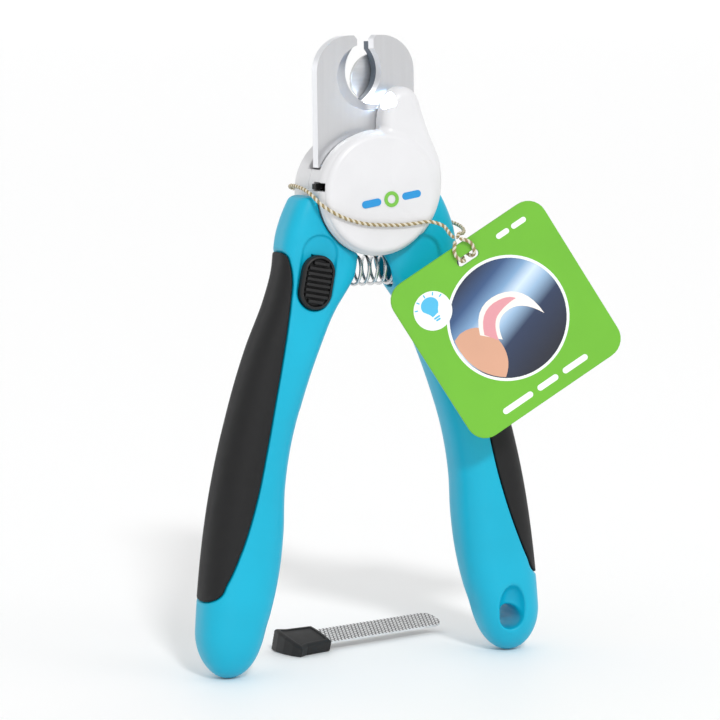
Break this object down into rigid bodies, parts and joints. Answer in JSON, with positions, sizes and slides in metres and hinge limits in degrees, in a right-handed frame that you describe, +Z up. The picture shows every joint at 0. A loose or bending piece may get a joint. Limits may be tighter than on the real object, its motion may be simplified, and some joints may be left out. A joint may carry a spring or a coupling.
{
  "type": "plier-type pet nail clipper",
  "caption": "Plier-type pet nail clipper with crescent blades, a lamp in the head, soft grips, slide lock, return spring, swinging nail guard, hang tag and loose nail file.",
  "frame": {"origin": "between the handles on the middle plane, where the hand closes round them, 60 mm above the handles' ends", "axes": "+Z up from the handles to the blades, -Y towards the front cover, +X from the left handle to the right handle"},
  "size_m": [0.1128, 0.0642, 0.1704],
  "materials": {
    "blue_plastic": "satin moulded plastic, bright sky blue",
    "grip_rubber": "fine matt soft-touch rubber, black",
    "blade_steel": "brushed stainless steel with a polished ground bevel",
    "white_plastic": "smooth white moulded plastic",
    "fastener_steel": "turned steel",
    "spring_steel": "drawn spring wire, bright plated",
    "stamped_steel": "stamped sheet steel",
    "black_plastic": "fine grained black plastic",
    "clear_lens": "clear moulded lens",
    "circuit_board": "green solder mask",
    "cell_steel": "nickel-plated can",
    "contact_brass": "stamped brass strip",
    "red_insulation": "red wire insulation",
    "black_insulation": "black wire insulation",
    "file_steel": "steel with cross-cut file teeth",
    "tag_card": "printed card, bright green",
    "twine": "two-ply twisted natural twine"
  },
  "bodies": {
    "frame": {"left_handle": "blue_plastic", "left_grip": "grip_rubber", "rear_blade": "blade_steel", "pivot_bolt": "fastener_steel", "front_washer": "fastener_steel", "rear_washer": "fastener_steel", "pivot_nut": "fastener_steel", "front_cover": "white_plastic", "rear_cover": "white_plastic", "cover_screw_right": "fastener_steel", "cover_screw_left": "fastener_steel", "led_lens": "clear_lens", "led_lamp": "clear_lens", "led_board": "circuit_board", "switch_body": "black_plastic", "battery_cell": "cell_steel", "contact_negative": "contact_brass", "contact_positive": "contact_brass", "battery_door": "white_plastic", "battery_door_screw": "fastener_steel", "wire_positive": "red_insulation", "wire_negative": "black_insulation", "lock_click_spring": "spring_steel", "return_spring": "spring_steel", "guard_spacer": "black_plastic", "guard_screw": "fastener_steel", "tag_twine": "twine"},
    "right_arm": {"front_blade": "blade_steel", "right_handle": "blue_plastic", "right_grip": "grip_rubber"},
    "lock_slider": {"lock_button": "black_plastic", "lock_bar": "stamped_steel"},
    "lamp_switch": {"switch_knob": "black_plastic"},
    "guard": {"nail_guard": "stamped_steel"},
    "hang_tag": {"tag_card": "tag_card", "tag_hitch": "twine"},
    "nail_file": {"file_strip": "file_steel", "file_cap": "black_plastic"}
  },
  "joints": [
    {"name": "handle_squeeze", "type": "hinge", "parent": "frame", "child": "right_arm", "pos_m": [0, 0, 0.0687], "axis": [0, 1, 0], "range_deg": [0, 20], "stiffness_Nm_per_rad": 0.66, "springref_deg": -20.05, "deforming": ["return_spring"]},
    {"name": "lock_slide", "type": "slide", "parent": "frame", "child": "lock_slider", "axis": [0.1908, 0, 0.9816], "range_m": [0, 0.0049]},
    {"name": "lamp_switch_slide", "type": "slide", "parent": "frame", "child": "lamp_switch", "axis": [0, -1, 0], "range_m": [0, 0.003]},
    {"name": "guard_swing", "type": "hinge", "parent": "frame", "child": "guard", "pos_m": [0.011, 0.0078, 0.0885], "axis": [0, 1, 0], "range_deg": [0, 80]},
    {"name": "tag_swing", "type": "hinge", "parent": "frame", "child": "hang_tag", "pos_m": [0.0184, -0.0184, 0.05595], "axis": [0.2079, 0.9781, 0], "range_deg": [-10, 38]},
    {"name": "file_lift", "type": "slide", "parent": "frame", "child": "nail_file", "axis": [0, 0, 1], "range_m": [0, 0.03]}
  ]
}
